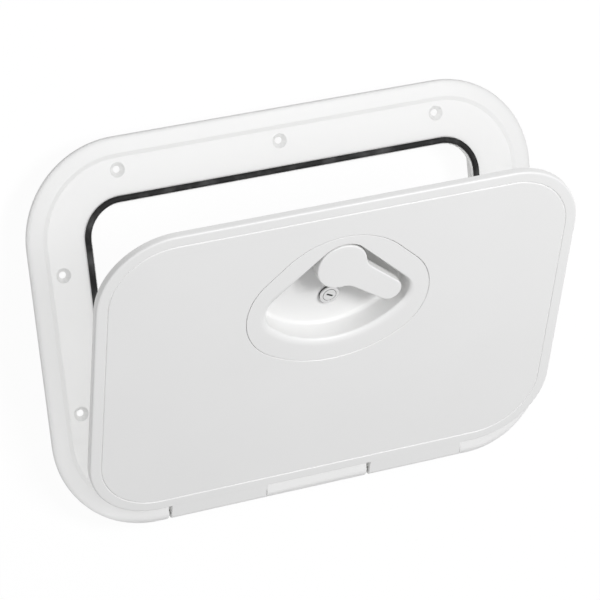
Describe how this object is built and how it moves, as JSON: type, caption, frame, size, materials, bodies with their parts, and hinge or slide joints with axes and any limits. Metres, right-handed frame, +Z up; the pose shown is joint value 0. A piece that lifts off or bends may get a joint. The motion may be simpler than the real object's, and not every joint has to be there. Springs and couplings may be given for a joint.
{
  "type": "deck hatch",
  "caption": "Flush plastic deck hatch: flanged frame with gasket, hinged lid standing ajar, finger cup with a turning latch lever and a key lock.",
  "frame": {"origin": "centre of the overall box at the foot of the coaming", "axes": "+X along the hinge, +Y from the hinge to the latch side, +Z up out of the deck"},
  "size_m": [0.375, 0.276, 0.1502],
  "materials": {
    "white_plastic": "satin moulded white",
    "black_rubber": "matt black",
    "grey_acetal": "smooth moulded grey",
    "stainless": "plain stainless",
    "chromed": "bright plated"
  },
  "bodies": {
    "frame": {"frame": "white_plastic", "gasket": "black_rubber", "hinge_pin_left": "stainless", "hinge_pin_right": "stainless"},
    "lid": {"lid": "white_plastic", "cup_insert": "white_plastic", "handle_bush": "grey_acetal", "handle_oring": "black_rubber", "handle_washer": "grey_acetal", "lock_body": "chromed", "lock_seal": "black_rubber", "lock_washer": "stainless", "lock_nut": "stainless"},
    "handle": {"handle_lever": "white_plastic", "handle_spindle": "stainless", "latch_cam": "grey_acetal", "cam_washer": "stainless", "cam_screw": "stainless"},
    "lock": {"lock_plug": "chromed", "lock_cam": "stainless", "lock_cam_washer": "stainless", "lock_cam_screw": "stainless"}
  },
  "joints": [
    {"name": "lid_hinge", "type": "hinge", "parent": "frame", "child": "lid", "pos_m": [0, -0.1324, 0.0288], "axis": [1, 0, 0], "range_deg": [-27.5, 82.5]},
    {"name": "handle_turn", "type": "hinge", "parent": "lid", "child": "handle", "pos_m": [0, 0.04474, 0.12598], "axis": [0, -0.4617, 0.887], "range_deg": [-104.6, 0]},
    {"name": "lock_turn", "type": "hinge", "parent": "lid", "child": "lock", "pos_m": [0, 0.01192, 0.10889], "axis": [0, -0.4617, 0.887], "range_deg": [0, 90]}
  ]
}
